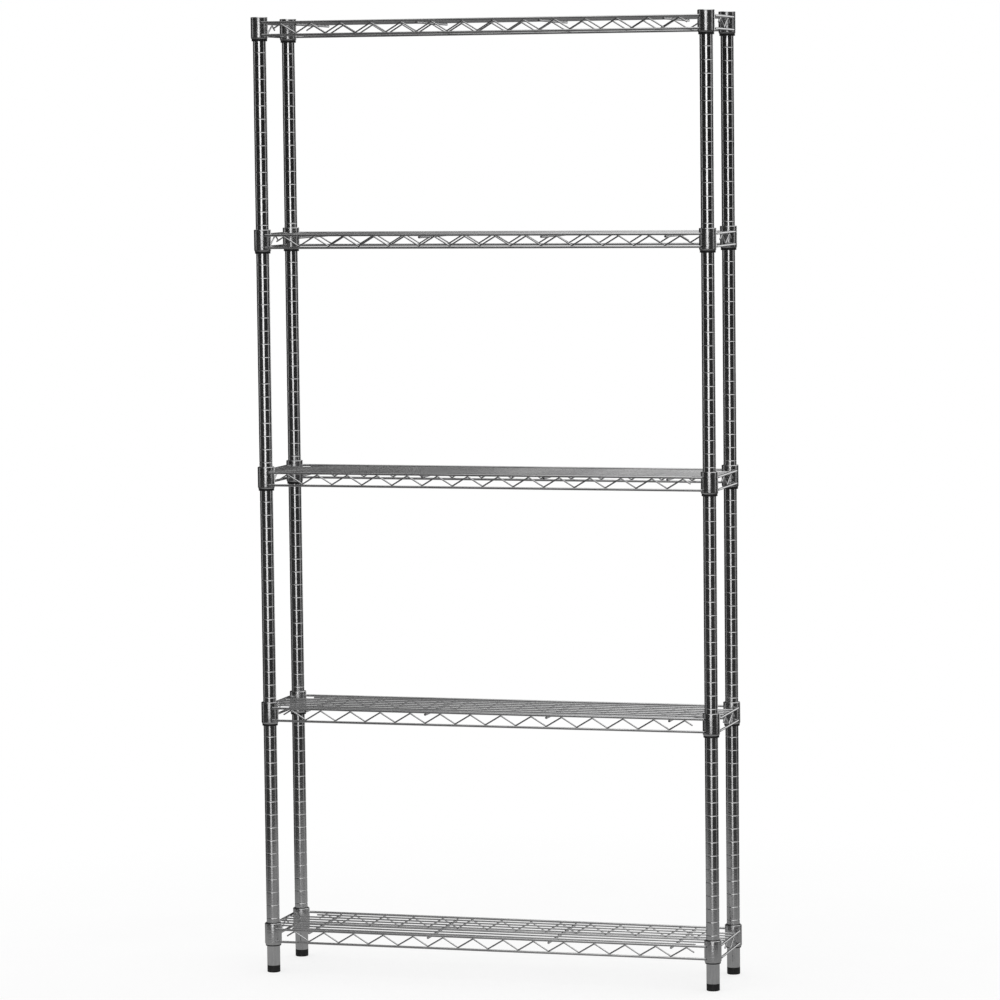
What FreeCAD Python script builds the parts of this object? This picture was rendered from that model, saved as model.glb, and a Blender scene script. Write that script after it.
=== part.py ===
import FreeCAD, Part

import math
import os

import Sketcher

# Wire shelving rack: four notched tube posts carry five welded wire shelves.
# Each shelf sits with four tapered collars on split sleeves that clip into the posts' notches.
# Frame: millimetres, +Z up, +X to the right, front at -Y, origin on the floor under the centre.

DIMENSIONS = {
    # posts: 1 inch tube with a notch every inch
    "post_span_x": 880.0,
    "post_span_y": 170.5,
    "post_radius": 12.7,
    "post_wall": 1.2,
    "notch_first": 81.3,
    "notch_pitch": 25.4,
    "notch_count": 70,
    "notch_depth": 0.45,
    "notch_width": 1.3,
    # the notch that carries each shelf, counted up from the lowest one
    "bottom_notch": 0,
    "lower_notch": 17,
    "middle_notch": 35,
    "upper_notch": 53,
    "top_notch": 69,
    # how far each shelf has settled down its sleeves
    "bottom_settle": 1.6,
    "lower_settle": 0,
    "middle_settle": 0,
    "upper_settle": 0,
    "top_settle": 0,
    # caps and levelling feet
    "cap_flange": 2.0,
    "cap_plug": 12.0,
    "cap_skin": 2.0,
    "foot_height": 13.5,
    "foot_edge": 1.2,
    "stud_radius": 5.0,
    "stud_seat": 6.0,
    "stud_length": 42.0,
    "stud_tip": 1.0,
    "insert_gap": 0.5,
    "insert_length": 26.0,
    "plug_clearance": 0.05,
    "thread_clearance": 0.05,
    # split sleeves: bead in the notch, tapered outside
    "sleeve_below_notch": 29.3,
    "sleeve_above_notch": 16.5,
    "sleeve_bottom_radius": 15.0,
    "sleeve_top_radius": 14.1,
    "sleeve_split": 0.6,
    "sleeve_clearance": 0.05,
    # shelf collars
    "collar_below_notch": 25.3,
    "collar_height": 42.0,
    "collar_radius": 16.4,
    "collar_top_edge": 1.2,
    "collar_foot_height": 3.5,
    "collar_foot_inset": 0.9,
    "taper_clearance": 0.1,
    # trusses: two straight wires with a zigzag between them
    "truss_offset": 14.0,
    "truss_wire_radius": 2.3,
    "truss_low_wire": 7.3,
    "truss_wire_gap": 24.0,
    "wire_end_inset": 9.8,
    "zigzag_radius": 1.45,
    "zigzag_pitch": 60.3,
    "zigzag_bend": 3.0,
    "weld_depth": 0.3,
    "long_truss_bends": 14,
    "short_truss_bends": 2,
    # deck
    "deck_wire_radius": 1.6,
    "deck_wire_pitch": 25.4,
    "deck_wire_level": 30.5,
    "deck_full_wires": 5,
    "deck_full_end_gap": 2.0,
    "deck_short_length": 808.0,
    "cross_bar_radius": 2.3,
    "cross_bar_level": 26.8,
    "cross_bar_length": 201.4,
    "cross_bar_pitch": 241.2,
    "cross_bar_count": 4,
}

CORNERS = {
    "front_left": (-1, -1),
    "front_right": (1, -1),
    "back_left": (-1, 1),
    "back_right": (1, 1),
}
LEVELS = ["bottom", "lower", "middle", "upper", "top"]
SIDES = {"left": "-", "right": ""}

CENTRE = 3      # Sketcher's point number for the centre of a circle or arc
START = 1
END = 2
ORIGIN = (-1, 1)
X_AXIS = -1
Y_AXIS = -2

doc = FreeCAD.newDocument("wire_shelving_rack")
sheet = doc.addObject("Spreadsheet::Sheet", "Dims")
for row, (alias, number) in enumerate(DIMENSIONS.items(), start=1):
    sheet.set(f"A{row}", alias)
    sheet.set(f"B{row}", str(number))
    sheet.setAlias(f"B{row}", alias)
doc.recompute()


def value(expression):
    """The number that an expression on the sheet gives."""
    return float(sheet.evalExpression(expression))


def origin_feature(body, role):
    return next(item for item in body.Origin.OriginFeatures if item.Role == role)


def place(body, x="0", y="0", z="0", turn=0.0):
    """Put a body at three expressions, turned about the vertical by a fixed angle."""
    body.Placement = FreeCAD.Placement(FreeCAD.Vector(), FreeCAD.Rotation(turn, 0, 0))
    for axis, expression in (("x", x), ("y", y), ("z", z)):
        body.setExpression(f"Placement.Base.{axis}", expression)


def new_body(label):
    body = doc.addObject("PartDesign::Body", label)
    body.Label = label
    return body


def new_sketch(body, name, plane, offset=("0", "0", "0"), turn=0.0):
    """A sketch on one of the body's own origin planes, shifted by three expressions."""
    sketch = body.newObject("Sketcher::SketchObject", name)
    sketch.AttachmentSupport = (origin_feature(body, plane), [""])
    sketch.MapMode = "FlatFace"
    sketch.AttachmentOffset = FreeCAD.Placement(FreeCAD.Vector(), FreeCAD.Rotation(turn, 0, 0))
    for axis, expression in zip("xyz", offset):
        sketch.setExpression(f"AttachmentOffset.Base.{axis}", expression)
    return sketch


def dimension(sketch, kind, *places, expression):
    """Add a dimension constraint that follows an expression."""
    index = sketch.addConstraint(Sketcher.Constraint(kind, *places, value(expression)))
    sketch.setExpression(f"Constraints[{index}]", expression)


def draw_circle(sketch, radius):
    """A circle about the sketch's own origin."""
    centre = FreeCAD.Vector()
    circle = sketch.addGeometry(Part.Circle(centre, FreeCAD.Vector(0, 0, 1), value(radius)))
    sketch.addConstraint(Sketcher.Constraint("Coincident", circle, CENTRE, *ORIGIN))
    dimension(sketch, "Radius", circle, expression=radius)


def draw_outline(sketch, corners):
    """A closed outline of straight lines; a corner is a pair of expressions, none negative."""
    points = [FreeCAD.Vector(value(across), value(up)) for across, up in corners]
    lines = []
    for start, end in zip(points, points[1:] + points[:1]):
        lines.append(sketch.addGeometry(Part.LineSegment(start, end)))
    for line, following in zip(lines, lines[1:] + lines[:1]):
        sketch.addConstraint(Sketcher.Constraint("Coincident", line, END, following, START))
    for line, point, (across, up) in zip(lines, points, corners):
        if point.x == 0:
            sketch.addConstraint(Sketcher.Constraint("PointOnObject", line, START, Y_AXIS))
        else:
            dimension(sketch, "DistanceX", *ORIGIN, line, START, expression=across)
        if point.y == 0:
            sketch.addConstraint(Sketcher.Constraint("PointOnObject", line, START, X_AXIS))
        else:
            dimension(sketch, "DistanceY", *ORIGIN, line, START, expression=up)


def pad_both_ways(body, name, sketch, length):
    pad = body.newObject("PartDesign::Pad", name)
    pad.Profile = sketch
    pad.SideType = "Symmetric"
    pad.setExpression("Length", length)
    return pad


def revolve(body, name, sketch):
    solid = body.newObject("PartDesign::Revolution", name)
    solid.Profile = sketch
    solid.ReferenceAxis = (sketch, ["V_Axis"])
    solid.Angle = 360
    return solid


def repeat(body, name, feature, role, spacing, count):
    """Repeat a feature in a row along one of the body's own axes."""
    pattern = body.newObject("PartDesign::LinearPattern", name)
    pattern.Originals = [feature]
    pattern.Direction = (origin_feature(body, role), [""])
    pattern.Mode = "Spacing"
    pattern.setExpression("Offset", spacing)
    pattern.setExpression("Occurrences", count)
    body.Tip = pattern
    return pattern


def group(label, bodies):
    """Like pieces that are counted as one sub-part."""
    compound = doc.addObject("Part::Compound", label)
    compound.Label = label
    compound.Links = bodies
    return compound


def at_corner(body, corner, height):
    side, depth = CORNERS[corner]
    place(body, f"{side} * Dims.post_span_x / 2", f"{depth} * Dims.post_span_y / 2", height)


def at_side(side):
    return f"{SIDES[side]}Dims.post_span_x / 2"


POST_TOP = (
    "(Dims.notch_first + Dims.top_notch * Dims.notch_pitch"
    " - Dims.collar_below_notch + Dims.collar_height - Dims.cap_flange)"
)


def make_post(corner):
    """Chromed tube with a V notch turned in it every inch."""
    body = new_body(f"post_{corner}")
    wall = new_sketch(body, "wall", "XZ_Plane")
    inner = "Dims.post_radius - Dims.post_wall"
    length = f"{POST_TOP} - Dims.foot_height"
    draw_outline(wall, [
        (inner, "0"),
        ("Dims.post_radius", "0"),
        ("Dims.post_radius", length),
        (inner, length),
    ])
    tube = revolve(body, "tube", wall)
    body.Tip = tube

    lowest = "Dims.notch_first - Dims.foot_height"
    outline = new_sketch(body, "notch_outline", "XZ_Plane")
    draw_outline(outline, [
        ("Dims.post_radius + Dims.notch_depth", f"{lowest} - Dims.notch_width"),
        ("Dims.post_radius + Dims.notch_depth", f"{lowest} + Dims.notch_width"),
        ("Dims.post_radius - Dims.notch_depth", lowest),
    ])
    notch = body.newObject("PartDesign::Groove", "notch")
    notch.Profile = outline
    notch.ReferenceAxis = (outline, ["V_Axis"])
    notch.Angle = 360
    repeat(body, "notches", notch, "Z_Axis", "Dims.notch_pitch", "Dims.notch_count")
    at_corner(body, corner, "Dims.foot_height")


def make_post_cap(corner):
    """Plastic cap: a flange as wide as the post on a hollow plug."""
    body = new_body(f"post_cap_{corner}")
    plug_radius = "Dims.post_radius - Dims.post_wall - Dims.plug_clearance"
    top = "Dims.cap_plug + Dims.cap_flange"
    section = new_sketch(body, "section", "XZ_Plane")
    draw_outline(section, [
        (f"{plug_radius} - Dims.cap_skin", "0"),
        (plug_radius, "0"),
        (plug_radius, "Dims.cap_plug"),
        ("Dims.post_radius", "Dims.cap_plug"),
        ("Dims.post_radius", f"{top} - Dims.cap_flange / 2"),
        ("Dims.post_radius - Dims.cap_flange / 2", top),
        ("0", top),
        ("0", "Dims.cap_plug"),
        (f"{plug_radius} - Dims.cap_skin", "Dims.cap_plug"),
    ])
    body.Tip = revolve(body, "cap", section)
    at_corner(body, corner, f"{POST_TOP} - Dims.cap_plug")
    return body


def make_thread_insert(corner):
    """Steel nut insert in the post's lower end; plain bore at the thread's diameter."""
    body = new_body(f"thread_insert_{corner}")
    bore = "Dims.stud_radius + Dims.thread_clearance"
    outside = "Dims.post_radius - Dims.post_wall - Dims.plug_clearance"
    section = new_sketch(body, "section", "XZ_Plane")
    draw_outline(section, [
        (bore, "0"),
        (outside, "0"),
        (outside, "Dims.insert_length"),
        (bore, "Dims.insert_length"),
    ])
    body.Tip = revolve(body, "insert", section)
    at_corner(body, corner, "Dims.foot_height + Dims.insert_gap")
    return body


def make_foot_stud(corner):
    """Levelling screw; plain shank at the thread's diameter with a chamfered tip."""
    body = new_body(f"foot_stud_{corner}")
    section = new_sketch(body, "section", "XZ_Plane")
    draw_outline(section, [
        ("0", "0"),
        ("Dims.stud_radius", "0"),
        ("Dims.stud_radius", "Dims.stud_length - Dims.stud_tip"),
        ("Dims.stud_radius - Dims.stud_tip", "Dims.stud_length"),
        ("0", "Dims.stud_length"),
    ])
    body.Tip = revolve(body, "stud", section)
    at_corner(body, corner, "Dims.stud_seat")


def make_foot_pad(corner):
    """Black foot as wide as the post, moulded on the lower end of the screw."""
    body = new_body(f"foot_pad_{corner}")
    section = new_sketch(body, "section", "XZ_Plane")
    draw_outline(section, [
        ("0", "0"),
        ("Dims.post_radius - Dims.foot_edge", "0"),
        ("Dims.post_radius", "Dims.foot_edge"),
        ("Dims.post_radius", "Dims.foot_height"),
        ("Dims.stud_radius", "Dims.foot_height"),
        ("Dims.stud_radius", "Dims.stud_seat"),
        ("0", "Dims.stud_seat"),
    ])
    body.Tip = revolve(body, "pad", section)
    at_corner(body, corner, "0")


FRONT_POST = ("0", "0", "Dims.post_span_y / 2")


def notch_height(level):
    return f"Dims.notch_first + Dims.{level}_notch * Dims.notch_pitch"


def shelf_height(level):
    """Height of the lower edge of a shelf's collars."""
    return f"{notch_height(level)} - Dims.collar_below_notch - Dims.{level}_settle"


def make_split_sleeves(level, side):
    """One side's two tapered sleeves, each in two halves, with a bead that sits in the notch."""
    body = new_body(f"{level}_{side}_split_sleeves")
    bore = "Dims.post_radius + Dims.sleeve_clearance"
    length = "Dims.sleeve_below_notch + Dims.sleeve_above_notch"
    section = new_sketch(body, "section", "XZ_Plane", FRONT_POST)
    draw_outline(section, [
        (bore, "0"),
        ("Dims.sleeve_bottom_radius", "0"),
        ("Dims.sleeve_top_radius", length),
        (bore, length),
        (bore, "Dims.sleeve_below_notch + Dims.notch_width / 2"),
        (f"{bore} - Dims.notch_depth", "Dims.sleeve_below_notch"),
        (bore, "Dims.sleeve_below_notch - Dims.notch_width / 2"),
    ])
    sleeve = revolve(body, "sleeve", section)
    repeat(body, "sleeves", sleeve, "Y_Axis", "Dims.post_span_y", "2")
    for row, sign in (("front", "-"), ("back", "")):
        edge = f"{sign}Dims.post_span_y / 2 - Dims.sleeve_split / 2"
        gap = new_sketch(body, f"{row}_gap", "YZ_Plane", (edge, "0", "0"))
        draw_outline(gap, [
            ("0", "0"),
            ("Dims.sleeve_split", "0"),
            ("Dims.sleeve_split", length),
            ("0", length),
        ])
        cut = body.newObject("PartDesign::Pocket", f"{row}_split")
        cut.Profile = gap
        cut.SideType = "Symmetric"
        cut.setExpression("Length", "4 * Dims.collar_radius")
        body.Tip = cut
    place(body, at_side(side), z=f"{notch_height(level)} - Dims.sleeve_below_notch")


def make_collars(level, side):
    """One side's two steel collars, whose tapered bores wedge down on the sleeves."""
    body = new_body(f"{level}_shelf_{side}_collars")
    slope = (
        "(Dims.sleeve_bottom_radius - Dims.sleeve_top_radius)"
        " / (Dims.sleeve_below_notch + Dims.sleeve_above_notch)"
    )
    wide_bore = (
        "Dims.sleeve_bottom_radius + Dims.taper_clearance"
        f" - (Dims.sleeve_below_notch - Dims.collar_below_notch) * {slope}"
    )
    section = new_sketch(body, "section", "XZ_Plane", FRONT_POST)
    draw_outline(section, [
        (wide_bore, "0"),
        ("Dims.collar_radius - Dims.collar_foot_inset", "0"),
        ("Dims.collar_radius", "Dims.collar_foot_height"),
        ("Dims.collar_radius", "Dims.collar_height - Dims.collar_top_edge"),
        ("Dims.collar_radius - Dims.collar_top_edge", "Dims.collar_height"),
        (f"{wide_bore} - Dims.collar_height * {slope}", "Dims.collar_height"),
    ])
    collar = revolve(body, "collar", section)
    repeat(body, "collars", collar, "Y_Axis", "Dims.post_span_y", "2")
    place(body, at_side(side), z=shelf_height(level))


def draw_bend(sketch):
    """Half a pitch of zigzag about one apex: a leg, the bend and a leg, on a mid-height base line."""
    half_width = value("Dims.zigzag_pitch") / 4
    radius = value("Dims.zigzag_bend")
    rise = (
        "Dims.truss_wire_gap / 2 - Dims.truss_wire_radius"
        " - Dims.zigzag_radius + Dims.weld_depth - Dims.zigzag_bend"
    )
    centre_height = value(rise)
    reach = math.hypot(half_width, centre_height)
    leg = math.sqrt(reach ** 2 - radius ** 2)
    slope = math.atan2(centre_height, half_width) + math.asin(radius / reach)
    tangent_x = half_width - leg * math.cos(slope)
    tangent_y = leg * math.sin(slope)

    circle = Part.Circle(FreeCAD.Vector(0, centre_height), FreeCAD.Vector(0, 0, 1), radius)
    left_foot = FreeCAD.Vector(-half_width, 0)
    right_foot = FreeCAD.Vector(half_width, 0)
    left = sketch.addGeometry(Part.LineSegment(left_foot, FreeCAD.Vector(-tangent_x, tangent_y)))
    arc_start = math.pi / 2 - slope
    bend = sketch.addGeometry(Part.ArcOfCircle(circle, arc_start, math.pi - arc_start))
    right = sketch.addGeometry(Part.LineSegment(FreeCAD.Vector(tangent_x, tangent_y), right_foot))

    sketch.addConstraint(Sketcher.Constraint("PointOnObject", bend, CENTRE, Y_AXIS))
    sketch.addConstraint(Sketcher.Constraint("PointOnObject", left, START, X_AXIS))
    sketch.addConstraint(Sketcher.Constraint("Symmetric", left, START, right, END, *ORIGIN))
    sketch.addConstraint(Sketcher.Constraint("Tangent", left, END, bend, END))
    sketch.addConstraint(Sketcher.Constraint("Tangent", bend, START, right, START))
    dimension(sketch, "Radius", bend, expression="Dims.zigzag_bend")
    dimension(sketch, "DistanceY", *ORIGIN, bend, CENTRE, expression=rise)
    dimension(sketch, "DistanceX", left, START, right, END, expression="Dims.zigzag_pitch / 2")


def add_zigzag_bends(body, name, first_apex, turn, count):
    """A row of equal bends: apex up when turn is 0, apex down when it is 180."""
    middle = "Dims.truss_low_wire + Dims.truss_wire_gap / 2"
    path = new_sketch(body, f"{name}_path", "XZ_Plane", (first_apex, middle, "0"), turn)
    draw_bend(path)
    section = body.newObject("Sketcher::SketchObject", f"{name}_section")
    section.AttachmentSupport = [(path, "Edge1")]
    section.MapMode = "NormalToEdge"
    draw_circle(section, "Dims.zigzag_radius")
    doc.recompute()
    bend = body.newObject("PartDesign::AdditivePipe", f"{name}_bend")
    bend.Profile = section
    bend.Spine = (path, ["Edge1", "Edge2", "Edge3"])
    repeat(body, f"{name}_bends", bend, "X_Axis", "Dims.zigzag_pitch", count)


def make_truss(label, span, bends, x, y, height, turn):
    """One side of a shelf: two straight wires and the zigzag welded between them."""
    body = new_body(label)
    wire_section = new_sketch(body, "wire_section", "YZ_Plane", ("0", "Dims.truss_low_wire", "0"))
    draw_circle(wire_section, "Dims.truss_wire_radius")
    wire = pad_both_ways(body, "low_wire", wire_section, f"{span} - 2 * Dims.wire_end_inset")
    repeat(body, "wires", wire, "Z_Axis", "Dims.truss_wire_gap", "2")
    first_top = f"-({bends} - 1) * Dims.zigzag_pitch / 2"
    add_zigzag_bends(body, "top", first_top, 0, bends)
    add_zigzag_bends(body, "low", f"{first_top} + Dims.zigzag_pitch / 2", 180, f"{bends} - 1")
    place(body, x, y, height, turn)
    return body


def make_trusses(level):
    height = shelf_height(level)
    for side, sign in (("front", "-"), ("back", "")):
        depth = f"{sign}(Dims.post_span_y / 2 + Dims.truss_offset)"
        make_truss(f"{level}_shelf_{side}_truss", "Dims.post_span_x", "Dims.long_truss_bends",
                   "0", depth, height, 0)
    ends = []
    for side, sign in SIDES.items():
        across = f"{sign}(Dims.post_span_x / 2 + Dims.truss_offset)"
        ends.append(make_truss(f"{level}_shelf_{side}_truss", "Dims.post_span_y",
                               "Dims.short_truss_bends", across, "0", height, 90))
    group(f"{level}_shelf_end_trusses", ends)


def make_deck_wires(level):
    """Long wires side by side: the middle ones reach the end trusses, the outermost two stop short."""
    body = new_body(f"{level}_shelf_deck_wires")
    half_full = "(Dims.deck_full_wires - 1) / 2 * Dims.deck_wire_pitch"
    full_start = (f"-{half_full}", "Dims.deck_wire_level", "0")
    full_section = new_sketch(body, "full_section", "YZ_Plane", full_start)
    draw_circle(full_section, "Dims.deck_wire_radius")
    full_length = "Dims.post_span_x + 2 * Dims.truss_offset - 2 * Dims.deck_full_end_gap"
    full = pad_both_ways(body, "full_wire", full_section, full_length)
    repeat(body, "full_wires", full, "Y_Axis", "Dims.deck_wire_pitch", "Dims.deck_full_wires")

    short_start = (f"-({half_full} + Dims.deck_wire_pitch)", "Dims.deck_wire_level", "0")
    short_section = new_sketch(body, "short_section", "YZ_Plane", short_start)
    draw_circle(short_section, "Dims.deck_wire_radius")
    short = pad_both_ways(body, "short_wire", short_section, "Dims.deck_short_length")
    repeat(body, "short_wires", short, "Y_Axis", f"2 * ({half_full} + Dims.deck_wire_pitch)", "2")
    place(body, z=shelf_height(level))


def make_cross_bars(level):
    """Bars from front to back under the deck wires and under the trusses' top wires."""
    body = new_body(f"{level}_shelf_cross_bars")
    first = "-(Dims.cross_bar_count - 1) * Dims.cross_bar_pitch / 2"
    section = new_sketch(body, "section", "XZ_Plane", (first, "Dims.cross_bar_level", "0"))
    draw_circle(section, "Dims.cross_bar_radius")
    bar = pad_both_ways(body, "bar", section, "Dims.cross_bar_length")
    repeat(body, "bars", bar, "X_Axis", "Dims.cross_bar_pitch", "Dims.cross_bar_count")
    place(body, z=shelf_height(level))


def check_model(pieces):
    """Stop if any object failed or any sub-part has no sound solid."""
    for item in doc.Objects:
        if "Invalid" in item.State or "Error" in item.State:
            raise RuntimeError(f"{item.Label} did not build: {item.State}")
    for piece in pieces:
        shape = piece.Shape
        if shape.isNull() or not shape.isValid() or not shape.Solids:
            raise RuntimeError(f"{piece.Label} has no valid solid")
        print(f"{piece.Label}: {len(shape.Solids)} solids, {shape.Volume:.0f} mm3")


for corner_name in CORNERS:
    make_post(corner_name)
    make_foot_stud(corner_name)
    make_foot_pad(corner_name)
group("post_caps", [make_post_cap(corner_name) for corner_name in CORNERS])
group("thread_inserts", [make_thread_insert(corner_name) for corner_name in CORNERS])
for level_name in LEVELS:
    for side_name in SIDES:
        make_split_sleeves(level_name, side_name)
        make_collars(level_name, side_name)
    make_trusses(level_name)
    make_deck_wires(level_name)
    make_cross_bars(level_name)

doc.recompute()
groups = [item for item in doc.Objects if item.TypeId == "Part::Compound"]
grouped = [body for item in groups for body in item.Links]
bodies = [item for item in doc.Objects if item.TypeId == "PartDesign::Body"]
sub_parts = groups + [body for body in bodies if body not in grouped]
check_model(sub_parts)
os.makedirs("parts", exist_ok=True)
for sub_part in sub_parts:
    sub_part.Shape.exportStep(f"parts/{sub_part.Label}.step")
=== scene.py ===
import math

import bpy
from mathutils import Matrix, Vector


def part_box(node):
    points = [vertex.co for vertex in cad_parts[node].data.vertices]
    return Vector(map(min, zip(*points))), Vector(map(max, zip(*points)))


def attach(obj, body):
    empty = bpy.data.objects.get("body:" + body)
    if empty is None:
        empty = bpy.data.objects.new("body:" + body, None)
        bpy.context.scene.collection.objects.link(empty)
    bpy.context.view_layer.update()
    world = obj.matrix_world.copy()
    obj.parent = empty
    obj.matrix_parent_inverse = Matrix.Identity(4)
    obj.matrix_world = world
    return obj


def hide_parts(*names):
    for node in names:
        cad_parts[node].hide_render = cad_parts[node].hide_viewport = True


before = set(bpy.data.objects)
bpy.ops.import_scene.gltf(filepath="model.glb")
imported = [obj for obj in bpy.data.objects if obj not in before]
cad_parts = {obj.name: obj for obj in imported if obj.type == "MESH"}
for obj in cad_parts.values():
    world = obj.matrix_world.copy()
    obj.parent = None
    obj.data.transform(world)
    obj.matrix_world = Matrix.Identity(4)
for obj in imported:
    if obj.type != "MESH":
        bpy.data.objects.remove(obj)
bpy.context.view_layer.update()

# The looks of a chromed wire shelving rack. Each CAD node that shows is replaced by a smooth,
# finely rounded piece on the same axes and at the same sizes; the levelling screws and their
# inserts, which hardly show, keep their CAD shape. Metres, +Z up, front at -Y.

MM = 0.001
LEVELS = ["bottom", "lower", "middle", "upper", "top"]
CORNERS = ["front_left", "front_right", "back_left", "back_right"]
SIDES = ["left", "right"]
ROWS = ["front", "back"]

X_AXIS = Vector((1, 0, 0))
Y_AXIS = Vector((0, 1, 0))

# sizes that the frame's boxes don't tell
NOTCH_PITCH = 25.4 * MM
NOTCH_DEPTH = 0.45 * MM
NOTCH_HALF_WIDTH = 0.8 * MM
FIRST_NOTCH = 81.3 * MM
NOTCH_COUNT = 70
POST_WALL = 1.2 * MM
POST_EDGE = 0.3 * MM
POST_CLEARANCE = 0.05 * MM
TRUSS_WIRE_RADIUS = 2.3 * MM
ZIGZAG_RADIUS = 1.45 * MM
ZIGZAG_PITCH = 60.3 * MM
ZIGZAG_BEND = 3.0 * MM
WELD_DEPTH = 0.3 * MM
LONG_TRUSS_BENDS = 14
END_TRUSS_BENDS = 2
DECK_WIRE_RADIUS = 1.6 * MM
DECK_WIRE_PITCH = 25.4 * MM
FULL_DECK_WIRES = 5
SHORT_DECK_LENGTH = 808.0 * MM
CROSS_BAR_RADIUS = 2.3 * MM
CROSS_BAR_COUNT = 4
SLEEVE_TOP_RADIUS = 14.1 * MM
SLEEVE_BOTTOM_RADIUS = 15.0 * MM
SLEEVE_SPLIT = 0.6 * MM
COLLAR_RADIUS = 16.4 * MM
COLLAR_BORE_BOTTOM = 15.02 * MM
COLLAR_BORE_TOP = 14.2 * MM
COLLAR_FOOT_HEIGHT = 3.5 * MM
COLLAR_FOOT_INSET = 0.9 * MM

# half a notch's section, from its middle out: (height, depth) as shares of its half width and
# depth, with a plain band beyond the edge
NOTCH_HALF = [(0.25, 0.85), (0.75, 0.12), (1.0, 0), (1.8, 0)]
NOTCH_SHAPE = [(-height, depth) for height, depth in reversed(NOTCH_HALF)] + [(0, 1)] + NOTCH_HALF

ROUND_SIDES = 64
WIRE_SIDES = 20
BEND_STEPS = 8
FLOOR_SIDES = 128
SHARP_ANGLE = 35.0
WIRE_END_EDGE = 0.35        # the bevel on a wire's end, as a share of its radius
STRAIGHT_SPACING = 60.0 * MM


# ---------------------------------------------------------------- meshes

def arc(centre, radius, start, end, steps):
    """Points on an arc in the (radius, height) plane, angles in degrees."""
    points = []
    for step in range(steps + 1):
        angle = math.radians(start + (end - start) * step / steps)
        points.append((centre[0] + radius * math.cos(angle), centre[1] + radius * math.sin(angle)))
    return points


class MeshParts:
    """Collects rings and strips of faces, then makes one mesh object of them."""

    def __init__(self):
        self.points = []
        self.faces = []

    def ring(self, points):
        first = len(self.points)
        self.points.extend(points)
        return range(first, len(self.points))

    def strip(self, lower, upper):
        count = len(lower)
        for i in range(count):
            j = (i + 1) % count
            self.faces.append((lower[i], lower[j], upper[j], upper[i]))

    def cap(self, ring, flip=False):
        self.faces.append(tuple(reversed(ring)) if flip else tuple(ring))

    def build(self, name, material):
        mesh = bpy.data.meshes.new(name)
        mesh.from_pydata([tuple(p) for p in self.points], [], self.faces)
        mesh.validate()
        mesh.update()
        mesh.shade_smooth()
        mesh.set_sharp_from_angle(angle=math.radians(SHARP_ANGLE))
        mesh.materials.append(material)
        piece = bpy.data.objects.new(name, mesh)
        bpy.context.collection.objects.link(piece)
        return piece


def lathe(parts, outline, centre, start=0.0, sweep=360.0):
    """Turn a closed (radius, height) outline about the vertical through centre.

    A full turn joins up; a part turn gets a flat face at each end.
    """
    full = sweep >= 360.0
    count = ROUND_SIDES if full else int(ROUND_SIDES * sweep / 360) + 1
    columns = []
    for step in range(count):
        angle = math.radians(start + sweep * step / (count if full else count - 1))
        direction = Vector((math.cos(angle), math.sin(angle), 0))
        columns.append(parts.ring([centre + direction * r + Vector((0, 0, z)) for r, z in outline]))
    for step in range(count if full else count - 1):
        parts.strip(columns[step], columns[(step + 1) % count])
    if not full:
        parts.cap(columns[0])
        parts.cap(columns[-1], flip=True)


def lathe_solid(parts, outline, centre):
    """Turn an open outline whose two ends lie on the axis; the ends become single points."""
    rings = []
    for radius, height in outline[1:-1]:
        points = []
        for step in range(ROUND_SIDES):
            angle = 2 * math.pi * step / ROUND_SIDES
            points.append(centre + Vector((radius * math.cos(angle), radius * math.sin(angle), height)))
        rings.append(parts.ring(points))
    for lower, upper in zip(rings, rings[1:]):
        parts.strip(lower, upper)
    low_point = parts.ring([centre + Vector((0, 0, outline[0][1]))])[0]
    high_point = parts.ring([centre + Vector((0, 0, outline[-1][1]))])[0]
    for i in range(ROUND_SIDES):
        j = (i + 1) % ROUND_SIDES
        parts.faces.append((rings[0][j], rings[0][i], low_point))
        parts.faces.append((rings[-1][i], rings[-1][j], high_point))


def wire(parts, path, radius, normal):
    """A round wire along a flat path; normal is that of the plane that the path lies in."""
    edge = WIRE_END_EDGE * radius
    tangents = []
    for i in range(len(path)):
        before = path[max(i - 1, 0)]
        after = path[min(i + 1, len(path) - 1)]
        tangents.append((after - before).normalized())
    sections = [(path[0], tangents[0], radius - edge)]
    sections.append((path[0] + tangents[0] * edge, tangents[0], radius))
    sections += [(path[i], tangents[i], radius) for i in range(1, len(path) - 1)]
    sections.append((path[-1] - tangents[-1] * edge, tangents[-1], radius))
    sections.append((path[-1], tangents[-1], radius - edge))
    rings = []
    for point, tangent, size in sections:
        across = normal.cross(tangent).normalized()
        ring = []
        for step in range(WIRE_SIDES):
            angle = 2 * math.pi * step / WIRE_SIDES
            ring.append(point + (normal * math.cos(angle) + across * math.sin(angle)) * size)
        rings.append(parts.ring(ring))
    for lower, upper in zip(rings, rings[1:]):
        parts.strip(lower, upper)
    parts.cap(rings[0], flip=True)
    parts.cap(rings[-1])


def straight(start, end):
    """Points along a straight run, so that long faces don't smear the shading."""
    steps = max(1, int((end - start).length / STRAIGHT_SPACING))
    return [start.lerp(end, i / steps) for i in range(steps + 1)]


def stand_for(piece, node, body):
    """Let a piece stand for a CAD node and move with its body."""
    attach(piece, body)
    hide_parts(node)


# ---------------------------------------------------------------- materials

def new_material(name):
    material = bpy.data.materials.new(name)
    material.use_nodes = True
    nodes = material.node_tree.nodes
    links = material.node_tree.links
    return material, nodes, links, nodes["Principled BSDF"]


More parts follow.
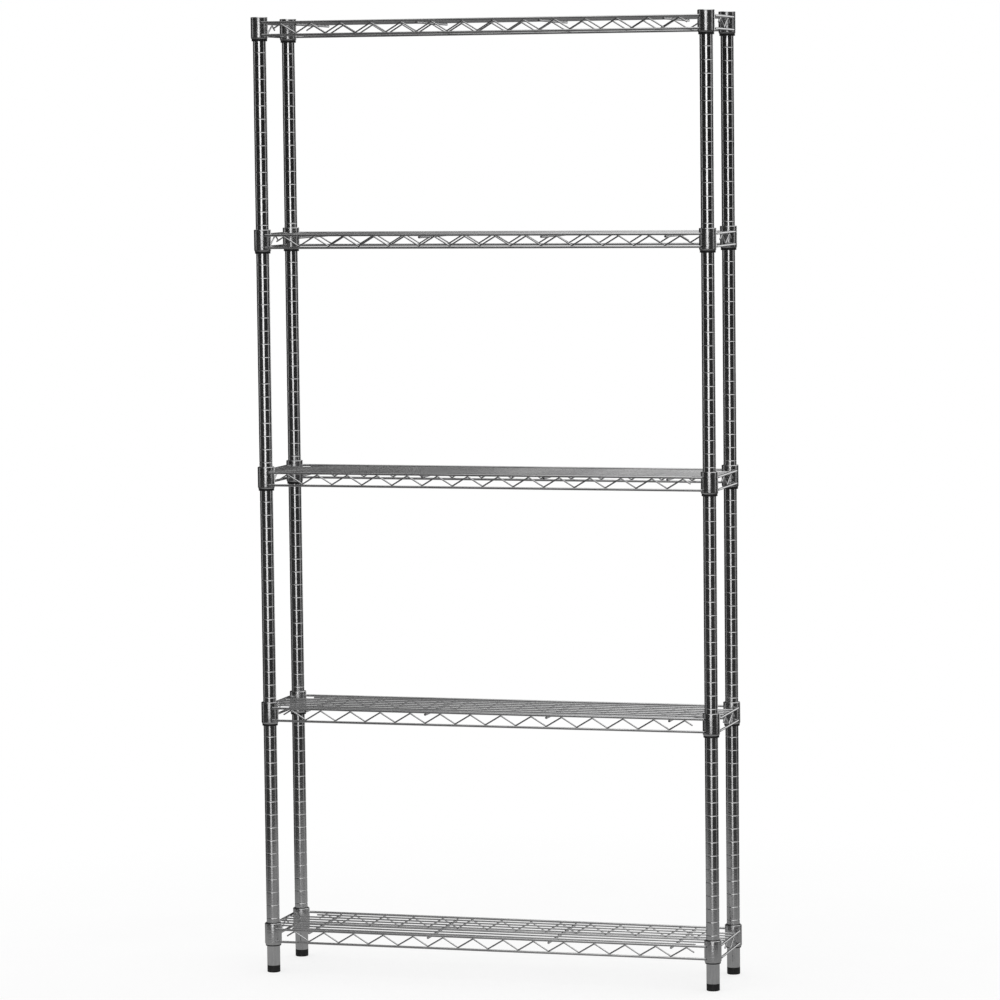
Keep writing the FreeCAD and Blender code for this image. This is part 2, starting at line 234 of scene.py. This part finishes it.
def noise(nodes, links, coordinates, scale, detail=2.0, stretch=(1, 1, 1)):
    mapping = nodes.new("ShaderNodeMapping")
    mapping.inputs["Scale"].default_value = stretch
    links.new(coordinates, mapping.inputs["Vector"])
    texture = nodes.new("ShaderNodeTexNoise")
    texture.inputs["Scale"].default_value = scale
    texture.inputs["Detail"].default_value = detail
    links.new(mapping.outputs["Vector"], texture.inputs["Vector"])
    return texture.outputs["Fac"]


def ramp(nodes, links, factor, low, high, dark, light):
    blend = nodes.new("ShaderNodeValToRGB")
    blend.color_ramp.elements[0].position = low
    blend.color_ramp.elements[1].position = high
    blend.color_ramp.elements[0].color = (*dark, 1)
    blend.color_ramp.elements[1].color = (*light, 1)
    links.new(factor, blend.inputs["Fac"])
    return blend.outputs["Color"]


def spread(nodes, links, factor, low, high, from_low=0.0, from_high=1.0):
    """Map a factor from one range to another."""
    rescale = nodes.new("ShaderNodeMapRange")
    rescale.inputs["From Min"].default_value = from_low
    rescale.inputs["From Max"].default_value = from_high
    rescale.inputs["To Min"].default_value = low
    rescale.inputs["To Max"].default_value = high
    links.new(factor, rescale.inputs["Value"])
    return rescale.outputs["Result"]


def bump(nodes, links, height, strength, distance, below=None):
    node = nodes.new("ShaderNodeBump")
    node.inputs["Strength"].default_value = strength
    node.inputs["Distance"].default_value = distance
    links.new(height, node.inputs["Height"])
    if below is not None:
        links.new(below, node.inputs["Normal"])
    return node.outputs["Normal"]


def chrome(name, dark, light, rough_low, rough_high, peel, draw_stretch):
    """Chrome plate: cloudy tint and gloss, faint orange peel and fine marks from drawing the steel."""
    material, nodes, links, shader = new_material(name)
    place = nodes.new("ShaderNodeTexCoord").outputs["Object"]
    shader.inputs["Metallic"].default_value = 1.0
    clouds = noise(nodes, links, place, scale=9.0, detail=3.0)
    links.new(ramp(nodes, links, clouds, 0.35, 0.65, dark, light), shader.inputs["Base Color"])
    smears = noise(nodes, links, place, scale=55.0, detail=4.0, stretch=draw_stretch)
    links.new(spread(nodes, links, smears, rough_low, rough_high), shader.inputs["Roughness"])
    skin = noise(nodes, links, place, scale=420.0)
    marks = noise(nodes, links, place, scale=900.0, stretch=draw_stretch)
    rounded = bump(nodes, links, skin, strength=peel, distance=0.4 * MM)
    marked = bump(nodes, links, marks, strength=0.04, distance=0.2 * MM, below=rounded)
    links.new(marked, shader.inputs["Normal"])
    return material


def plastic(name, dark, light, rough_low, rough_high):
    """Moulded plastic with a fine matt grain and faint scuffs."""
    material, nodes, links, shader = new_material(name)
    place = nodes.new("ShaderNodeTexCoord").outputs["Object"]
    clouds = noise(nodes, links, place, scale=60.0, detail=3.0)
    links.new(ramp(nodes, links, clouds, 0.35, 0.7, dark, light), shader.inputs["Base Color"])
    scuffs = noise(nodes, links, place, scale=240.0, detail=4.0)
    links.new(spread(nodes, links, scuffs, rough_low, rough_high), shader.inputs["Roughness"])
    grain = noise(nodes, links, place, scale=1800.0)
    links.new(bump(nodes, links, grain, strength=0.25, distance=0.2 * MM), shader.inputs["Normal"])
    return material


def zinc(name):
    """Zinc plated steel: a dull silver with a faint cool and warm bloom."""
    material, nodes, links, shader = new_material(name)
    place = nodes.new("ShaderNodeTexCoord").outputs["Object"]
    shader.inputs["Metallic"].default_value = 1.0
    bloom = noise(nodes, links, place, scale=90.0, detail=4.0)
    tint = ramp(nodes, links, bloom, 0.3, 0.7, (0.40, 0.42, 0.46), (0.58, 0.57, 0.53))
    links.new(tint, shader.inputs["Base Color"])
    links.new(spread(nodes, links, bloom, 0.28, 0.48), shader.inputs["Roughness"])
    grain = noise(nodes, links, place, scale=900.0, detail=3.0)
    links.new(bump(nodes, links, grain, strength=0.2, distance=0.2 * MM), shader.inputs["Normal"])
    return material


# the tubes are drawn along z and the wires along x, so their marks are stretched that way
CHROME_POST = chrome("chrome_post", dark=(0.60, 0.60, 0.605), light=(0.70, 0.70, 0.70),
                     rough_low=0.08, rough_high=0.16, peel=0.30, draw_stretch=(1, 1, 0.04))
CHROME_COLLAR = chrome("chrome_collar", dark=(0.52, 0.52, 0.525), light=(0.64, 0.64, 0.64),
                       rough_low=0.14, rough_high=0.26, peel=0.60, draw_stretch=(1, 1, 1))
CHROME_WIRE = chrome("chrome_wire", dark=(0.50, 0.50, 0.505), light=(0.60, 0.60, 0.60),
                     rough_low=0.10, rough_high=0.20, peel=0.10, draw_stretch=(0.1, 1, 1))
BLACK_PLASTIC = plastic("black_plastic", dark=(0.003, 0.003, 0.0032), light=(0.008, 0.008, 0.0085),
                        rough_low=0.4, rough_high=0.6)
ZINC_STEEL = zinc("zinc_steel")


# ---------------------------------------------------------------- posts and feet

def axis_point(corner):
    """The point at floor level on the axis of a post."""
    low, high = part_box(f"post_{corner}")
    return Vector(((low.x + high.x) / 2, (low.y + high.y) / 2, 0))


def post_radius():
    """The radius that the caps and sleeves fit."""
    low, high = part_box(f"post_{CORNERS[0]}")
    return (high.x - low.x) / 2


def make_post(corner):
    low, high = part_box(f"post_{corner}")
    radius = (high.x - low.x) / 2
    outline = [(radius - POST_WALL, low.z), (radius - POST_EDGE, low.z), (radius, low.z + POST_EDGE)]
    for notch in range(NOTCH_COUNT):
        height = FIRST_NOTCH + notch * NOTCH_PITCH
        outline += [(radius - depth * NOTCH_DEPTH, height + across * NOTCH_HALF_WIDTH)
                    for across, depth in NOTCH_SHAPE]
    outline += [(radius, high.z - POST_EDGE), (radius - POST_EDGE, high.z), (radius - POST_WALL, high.z)]
    parts = MeshParts()
    lathe(parts, outline, axis_point(corner))
    piece = parts.build(f"post_{corner}_tube", CHROME_POST)
    stand_for(piece, f"post_{corner}", "frame")


def make_caps():
    node = "post_caps"
    low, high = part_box(node)
    radius = post_radius()
    flange = 2.0 * MM
    edge = 0.8 * MM
    skin = 2.0 * MM
    plug = radius - POST_WALL - POST_CLEARANCE
    lead_width = 0.4 * MM
    lead_height = 0.6 * MM
    seat = high.z - flange
    flat_ring = 0.6 * radius
    outline = [(0, seat), (plug - skin, seat), (plug - skin, low.z), (plug - lead_width, low.z),
               (plug, low.z + lead_height), (plug, seat), (radius, seat)]
    outline += arc((radius - edge, high.z - edge), edge, 0, 90, steps=5)
    outline += [(flat_ring, high.z), (0, high.z)]
    parts = MeshParts()
    for corner in CORNERS:
        lathe_solid(parts, outline, axis_point(corner))
    stand_for(parts.build(f"{node}_moulding", BLACK_PLASTIC), node, "frame")


def make_foot(corner):
    node = f"foot_pad_{corner}"
    low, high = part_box(node)
    radius = (high.x - low.x) / 2
    socket = 5.0 * MM
    socket_floor = 6.0 * MM
    low_edge = 1.2 * MM
    high_edge = 0.5 * MM
    outline = [(0, low.z), (radius - low_edge, low.z)]
    outline += arc((radius - low_edge, low.z + low_edge), low_edge, -90, 0, steps=6)[1:]
    outline += arc((radius - high_edge, high.z - high_edge), high_edge, 0, 90, steps=4)
    outline += [(socket, high.z), (socket, socket_floor), (0, socket_floor)]
    parts = MeshParts()
    lathe_solid(parts, outline, axis_point(corner))
    stand_for(parts.build(f"{node}_moulding", BLACK_PLASTIC), node, f"foot_{corner}")


# ---------------------------------------------------------------- sleeves and collars

def make_sleeves(level, side):
    node = f"{level}_{side}_split_sleeves"
    low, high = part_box(node)
    bore_radius = post_radius() + POST_CLEARANCE
    split = math.degrees(SLEEVE_SPLIT / 2 / SLEEVE_BOTTOM_RADIUS)
    edge = 0.5 * MM
    outline = [(bore_radius, low.z), (SLEEVE_BOTTOM_RADIUS - edge, low.z)]
    outline += arc((SLEEVE_BOTTOM_RADIUS - edge, low.z + edge), edge, -90, 0, steps=4)[1:]
    outline += arc((SLEEVE_TOP_RADIUS - edge, high.z - edge), edge, 0, 90, steps=4)
    outline += [(bore_radius, high.z)]
    parts = MeshParts()
    for row in ROWS:
        centre = axis_point(f"{row}_{side}")
        for start in (0.0, 180.0):
            lathe(parts, outline, centre, start=start + split, sweep=180.0 - 2 * split)
    stand_for(parts.build(f"{node}_moulding", BLACK_PLASTIC), node, "frame")


def make_collars(level, side):
    node = f"{level}_shelf_{side}_collars"
    low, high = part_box(node)
    top_edge = 1.2 * MM
    bore_edge = 0.2 * MM
    foot_radius = COLLAR_RADIUS - COLLAR_FOOT_INSET
    foot_start = -42
    outline = [(COLLAR_BORE_BOTTOM, low.z), (foot_radius - bore_edge, low.z)]
    outline += arc((COLLAR_RADIUS - COLLAR_FOOT_HEIGHT, low.z + COLLAR_FOOT_HEIGHT), COLLAR_FOOT_HEIGHT,
                   foot_start, 0, steps=6)
    outline += arc((COLLAR_RADIUS - top_edge, high.z - top_edge), top_edge, 0, 90, steps=6)
    outline += [(COLLAR_BORE_TOP + bore_edge, high.z), (COLLAR_BORE_TOP, high.z - bore_edge)]
    parts = MeshParts()
    for row in ROWS:
        lathe(parts, outline, axis_point(f"{row}_{side}"))
    stand_for(parts.build(f"{node}_castings", CHROME_COLLAR), node, f"{level}_shelf")


# ---------------------------------------------------------------- shelf wires

def zigzag_path(bends, low_wire, high_wire):
    """Zigzag in a (along, height) plane, apexes alternating up and down, ends cut at mid-height."""
    middle = (low_wire + high_wire) / 2
    half_width = ZIGZAG_PITCH / 4
    rise = (high_wire - low_wire) / 2 - TRUSS_WIRE_RADIUS - ZIGZAG_RADIUS + WELD_DEPTH - ZIGZAG_BEND
    slope = math.atan2(rise, half_width) + math.asin(ZIGZAG_BEND / math.hypot(half_width, rise))
    apexes = 2 * bends - 1
    first = -(apexes - 1) * ZIGZAG_PITCH / 4
    points = [(first - half_width, middle)]
    for index in range(apexes):
        up = 1 if index % 2 == 0 else -1
        centre = first + index * ZIGZAG_PITCH / 2
        for step in range(BEND_STEPS + 1):
            angle = math.pi / 2 + slope - 2 * slope * step / BEND_STEPS
            along = centre + ZIGZAG_BEND * math.cos(angle)
            points.append((along, middle + up * (rise + ZIGZAG_BEND * math.sin(angle))))
    points.append((-first + half_width, middle))
    return points


def add_truss(parts, centre, along, normal, half, low_wire, high_wire, bends):
    """Two straight wires and the zigzag welded between them."""
    for height in (low_wire, high_wire):
        lift = Vector((0, 0, height))
        wire(parts, straight(centre + lift - along * half, centre + lift + along * half),
             TRUSS_WIRE_RADIUS, normal)
    path = [centre + along * a + Vector((0, 0, z)) for a, z in zigzag_path(bends, low_wire, high_wire)]
    wire(parts, path, ZIGZAG_RADIUS, normal)


def make_long_truss(level, row):
    node = f"{level}_shelf_{row}_truss"
    low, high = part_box(node)
    centre = Vector(((low.x + high.x) / 2, (low.y + high.y) / 2, 0))
    parts = MeshParts()
    add_truss(parts, centre, X_AXIS, Y_AXIS, (high.x - low.x) / 2,
              low.z + TRUSS_WIRE_RADIUS, high.z - TRUSS_WIRE_RADIUS, LONG_TRUSS_BENDS)
    stand_for(parts.build(f"{node}_wires", CHROME_WIRE), node, f"{level}_shelf")


def make_end_trusses(level):
    node = f"{level}_shelf_end_trusses"
    low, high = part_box(node)
    parts = MeshParts()
    for across in (low.x + TRUSS_WIRE_RADIUS, high.x - TRUSS_WIRE_RADIUS):
        centre = Vector((across, (low.y + high.y) / 2, 0))
        add_truss(parts, centre, Y_AXIS, X_AXIS, (high.y - low.y) / 2,
                  low.z + TRUSS_WIRE_RADIUS, high.z - TRUSS_WIRE_RADIUS, END_TRUSS_BENDS)
    stand_for(parts.build(f"{node}_wires", CHROME_WIRE), node, f"{level}_shelf")


def make_deck(level):
    node = f"{level}_shelf_deck_wires"
    low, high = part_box(node)
    height = (low.z + high.z) / 2
    half_full = (high.x - low.x) / 2
    outermost = (FULL_DECK_WIRES - 1) // 2 + 1
    parts = MeshParts()
    for row in range(-outermost, outermost + 1):
        half = SHORT_DECK_LENGTH / 2 if abs(row) == outermost else half_full
        start = Vector((-half, row * DECK_WIRE_PITCH, height))
        end = Vector((half, row * DECK_WIRE_PITCH, height))
        wire(parts, straight(start, end), DECK_WIRE_RADIUS, Y_AXIS)
    stand_for(parts.build(f"{node}_straight", CHROME_WIRE), node, f"{level}_shelf")


def make_cross_bars(level):
    node = f"{level}_shelf_cross_bars"
    low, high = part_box(node)
    height = (low.z + high.z) / 2
    first = low.x + CROSS_BAR_RADIUS
    pitch = (high.x - low.x - 2 * CROSS_BAR_RADIUS) / (CROSS_BAR_COUNT - 1)
    parts = MeshParts()
    for index in range(CROSS_BAR_COUNT):
        across = first + index * pitch
        start = Vector((across, low.y, height))
        end = Vector((across, high.y, height))
        wire(parts, straight(start, end), CROSS_BAR_RADIUS, X_AXIS)
    stand_for(parts.build(f"{node}_straight", CHROME_WIRE), node, f"{level}_shelf")


def plate_with_zinc(node):
    """Give a CAD node that stays the zinc finish."""
    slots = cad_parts[node].data.materials
    slots.clear()
    slots.append(ZINC_STEEL)


make_caps()
plate_with_zinc("thread_inserts")
for corner_name in CORNERS:
    make_post(corner_name)
    make_foot(corner_name)
    plate_with_zinc(f"foot_stud_{corner_name}")
for level_name in LEVELS:
    for side_name in SIDES:
        make_sleeves(level_name, side_name)
        make_collars(level_name, side_name)
    for row_name in ROWS:
        make_long_truss(level_name, row_name)
    make_end_trusses(level_name)
    make_deck(level_name)
    make_cross_bars(level_name)


# ---------------------------------------------------------------- floor, light and camera

FLOOR_RADIUS = 1.8
FLOOR_PLAIN_RADIUS = 0.9    # beyond this the floor fades into the backdrop
FLOOR_GLOW = 0.7            # the share of plain white in the floor, which keeps shadows faint
MIRRORED_FLOOR_DROP = 1.0 * MM
# what the chrome mirrors, from straight down (0) through the horizon (0.5) to straight up (1)
ROOM_SHADES = [(0.0, 0.10), (0.42, 0.04), (0.5, 0.012), (0.6, 0.012), (0.75, 0.05), (1.0, 0.12)]
# upright soft panels: (angle from the front towards the right, half width, both in degrees,
# and brightness)
PANELS = [(10.0, 12.5, 1.7), (172.0, 20.0, 1.1), (100.0, 9.0, 0.5), (-84.0, 9.0, 0.4)]
# where they start and where they reach full brightness: the sines of the angles above the
# horizon at their foot and head, and the shares of their half width at their sides
PANEL_FOOT = (-0.30, 0.02)
PANEL_HEAD = (0.28, 0.16)
PANEL_SIDE = (1.25, 0.6)
# one large soft panel overhead, with the same two limits for a direction's x at its left edge
# and for its z all round
OVERHEAD_LEFT_EDGE = (-0.33, -0.22)
OVERHEAD_HEIGHT = (0.25, 0.70)
OVERHEAD_BRIGHTNESS = 1.35


def floor_disc(name, material):
    parts = MeshParts()
    turns = [2 * math.pi * step / FLOOR_SIDES for step in range(FLOOR_SIDES)]
    parts.cap(parts.ring([Vector((math.cos(t), math.sin(t), 0)) * FLOOR_RADIUS for t in turns]))
    disc = parts.build(name, material)
    return disc


def rim_fade(nodes, links, place, start):
    """From start over the middle of the floor to 1 at its rim."""
    length = nodes.new("ShaderNodeVectorMath")
    length.operation = "LENGTH"
    links.new(place, length.inputs[0])
    return spread(nodes, links, length.outputs["Value"], start, 1.0, FLOOR_PLAIN_RADIUS, FLOOR_RADIUS)


def blend_shaders(nodes, links, factor, first, second):
    blend = nodes.new("ShaderNodeMixShader")
    links.new(factor, blend.inputs["Fac"])
    links.new(first, blend.inputs[1])
    links.new(second, blend.inputs[2])
    return blend.outputs["Shader"]


def make_floor():
    """A pale round floor that fades into the white backdrop."""
    material, nodes, links, shader = new_material("studio_floor")
    place = nodes.new("ShaderNodeTexCoord").outputs["Object"]
    clouds = noise(nodes, links, place, scale=3.0, detail=3.0)
    tint = ramp(nodes, links, clouds, 0.3, 0.7, (0.93, 0.93, 0.93), (0.96, 0.96, 0.96))
    links.new(tint, shader.inputs["Base Color"])
    shader.inputs["Roughness"].default_value = 0.7
    shader.inputs["Specular IOR Level"].default_value = 0.0
    white = nodes.new("ShaderNodeEmission").outputs["Emission"]
    fade = rim_fade(nodes, links, place, FLOOR_GLOW)
    mixed = blend_shaders(nodes, links, fade, shader.outputs["BSDF"], white)
    links.new(mixed, nodes["Material Output"].inputs["Surface"])
    disc = floor_disc("studio_floor", material)
    disc.visible_glossy = False


def make_mirrored_floor():
    """The grey floor that only the chrome sees, so that the lower posts don't wash out."""
    material, nodes, links, shader = new_material("mirrored_floor")
    nodes.remove(shader)
    place = nodes.new("ShaderNodeTexCoord").outputs["Object"]
    grey = nodes.new("ShaderNodeEmission")
    clouds = noise(nodes, links, place, scale=14.0, detail=4.0)
    tint = ramp(nodes, links, clouds, 0.3, 0.7, (0.26, 0.26, 0.26), (0.38, 0.38, 0.38))
    links.new(tint, grey.inputs["Color"])
    clear = nodes.new("ShaderNodeBsdfTransparent").outputs["BSDF"]
    fade = rim_fade(nodes, links, place, 0.0)
    mixed = blend_shaders(nodes, links, fade, grey.outputs["Emission"], clear)
    links.new(mixed, nodes["Material Output"].inputs["Surface"])
    disc = floor_disc("mirrored_floor", material)
    disc.location.z = -MIRRORED_FLOOR_DROP
    for kind in ("camera", "diffuse", "transmission", "shadow"):
        setattr(disc, f"visible_{kind}", False)


def combine(nodes, links, operation, *inputs):
    """A Math node fed with sockets or plain numbers."""
    node = nodes.new("ShaderNodeMath")
    node.operation = operation
    for socket, source in zip(node.inputs, inputs):
        if isinstance(source, float):
            socket.default_value = source
        else:
            links.new(source, socket)
    return node.outputs["Value"]


def soft_step(nodes, links, factor, start, end):
    """0 at start and 1 at end, smooth between them and level beyond."""
    rise = spread(nodes, links, factor, 0.0, 1.0, start, end)
    rise.node.interpolation_type = "SMOOTHSTEP"
    return rise


def make_panels(nodes, links, direction, across, height):
    """The brightness of the soft panels in a direction of the room."""
    level = nodes.new("ShaderNodeVectorMath")
    level.operation = "MULTIPLY"
    links.new(direction, level.inputs[0])
    level.inputs[1].default_value = (1, 1, 0)
    compass = nodes.new("ShaderNodeVectorMath")
    compass.operation = "NORMALIZE"
    links.new(level.outputs["Vector"], compass.inputs[0])
    total = None
    for angle, half_width, brightness in PANELS:
        towards = nodes.new("ShaderNodeVectorMath")
        towards.operation = "DOT_PRODUCT"
        links.new(compass.outputs["Vector"], towards.inputs[0])
        turn = math.radians(angle)
        towards.inputs[1].default_value = (math.sin(turn), -math.cos(turn), 0)
        edge, core = (math.cos(math.radians(share * half_width)) for share in PANEL_SIDE)
        panel = soft_step(nodes, links, towards.outputs["Value"], edge, core)
        panel = combine(nodes, links, "MULTIPLY", panel, brightness)
        total = panel if total is None else combine(nodes, links, "ADD", total, panel)
    foot = soft_step(nodes, links, height, *PANEL_FOOT)
    head = soft_step(nodes, links, height, *PANEL_HEAD)
    upright = combine(nodes, links, "MULTIPLY", total, combine(nodes, links, "MULTIPLY", foot, head))
    left_edge = soft_step(nodes, links, across, *OVERHEAD_LEFT_EDGE)
    high_edge = soft_step(nodes, links, height, *OVERHEAD_HEIGHT)
    overhead = combine(nodes, links, "MULTIPLY", left_edge, high_edge)
    overhead = combine(nodes, links, "MULTIPLY", overhead, OVERHEAD_BRIGHTNESS)
    return combine(nodes, links, "ADD", upright, overhead)


def make_world():
    """White backdrop and even light; the chrome mirrors a darker room with soft panels."""
    world = bpy.data.worlds.new("studio")
    bpy.context.scene.world = world
    world.use_nodes = True
    nodes = world.node_tree.nodes
    links = world.node_tree.links
    nodes.clear()
    backdrop = nodes.new("ShaderNodeBackground")
    backdrop.inputs["Color"].default_value = (1, 1, 1, 1)
    direction = nodes.new("ShaderNodeTexCoord").outputs["Generated"]
    split = nodes.new("ShaderNodeSeparateXYZ")
    links.new(direction, split.inputs["Vector"])
    rise = spread(nodes, links, split.outputs["Z"], 0.0, 1.0, from_low=-1.0)
    walls = nodes.new("ShaderNodeValToRGB")
    walls.color_ramp.elements[0].position = ROOM_SHADES[0][0]
    walls.color_ramp.elements[1].position = ROOM_SHADES[-1][0]
    for place, _ in ROOM_SHADES[1:-1]:
        walls.color_ramp.elements.new(place)
    for element, (_, shade) in zip(walls.color_ramp.elements, ROOM_SHADES):
        element.color = (shade, shade, shade, 1)
    links.new(rise, walls.inputs["Fac"])
    panels = make_panels(nodes, links, direction, split.outputs["X"], split.outputs["Z"])
    room = nodes.new("ShaderNodeBackground")
    links.new(combine(nodes, links, "ADD", walls.outputs["Color"], panels), room.inputs["Color"])
    ray = nodes.new("ShaderNodeLightPath")
    mixed = blend_shaders(nodes, links, ray.outputs["Is Glossy Ray"], backdrop.outputs["Background"],
                          room.outputs["Background"])
    output = nodes.new("ShaderNodeOutputWorld")
    links.new(mixed, output.inputs["Surface"])


# the camera, in front of the rack and to its right: yaw, pitch and roll in degrees, lens and
# sensor in mm, shift as shares of the picture's width
CAMERA_PLACE = (2.3746, -8.1507, 1.6309)
CAMERA_ANGLES = (15.431, -4.745, 0.581)
CAMERA_LENS = 159.31
CAMERA_SENSOR = 36.0
CAMERA_SHIFT = (-0.06, -0.0034)
CAMERA_REACH = 200.0


def make_camera():
    yaw, pitch, roll = (math.radians(angle) for angle in CAMERA_ANGLES)
    turn = Matrix.Rotation(yaw, 3, "Z") @ Matrix.Rotation(pitch, 3, "X") @ Matrix.Rotation(roll, 3, "Y")
    right, forward, up = turn.col[0], turn.col[1], turn.col[2]
    data = bpy.data.cameras.new("camera")
    data.sensor_width = CAMERA_SENSOR
    data.lens = CAMERA_LENS
    data.shift_x, data.shift_y = CAMERA_SHIFT
    data.clip_end = CAMERA_REACH
    camera = bpy.data.objects.new("camera", data)
    bpy.context.collection.objects.link(camera)
    axes = Matrix((right, up, -forward)).transposed().to_4x4()
    camera.matrix_world = Matrix.Translation(CAMERA_PLACE) @ axes
    bpy.context.scene.camera = camera


make_floor()
make_mirrored_floor()
make_world()
make_camera()
bpy.context.scene.view_settings.view_transform = "Standard"
